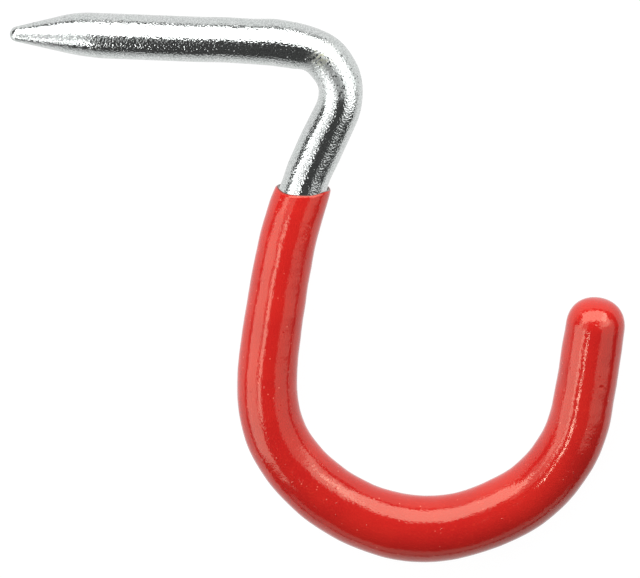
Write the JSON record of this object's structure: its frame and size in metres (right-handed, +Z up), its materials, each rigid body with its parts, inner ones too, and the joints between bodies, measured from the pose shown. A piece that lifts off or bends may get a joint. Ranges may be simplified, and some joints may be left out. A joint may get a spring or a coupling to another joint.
{
  "type": "hoof pick",
  "caption": "Hoof pick bent from round steel bar: a ground point on a straight arm, and a J-shaped hook with a dipped vinyl grip.",
  "frame": {"origin": "under the middle of the pick's box, on the surface that it lies on", "axes": "+X along the pick arm, from its point towards the elbow; +Y from the foot of the hook up to the arm; +Z up, square to the level plane that holds the bar's centre line"},
  "size_m": [0.1316, 0.1174, 0.0142],
  "materials": {
    "zinc_plated_steel": "bright zinc plate over drawn round bar, finely pitted",
    "red_vinyl": "glossy dipped PVC with slight orange peel"
  },
  "bodies": {
    "root": {"bent_steel_pick": "zinc_plated_steel", "vinyl_grip": "red_vinyl"}
  },
  "joints": []
}
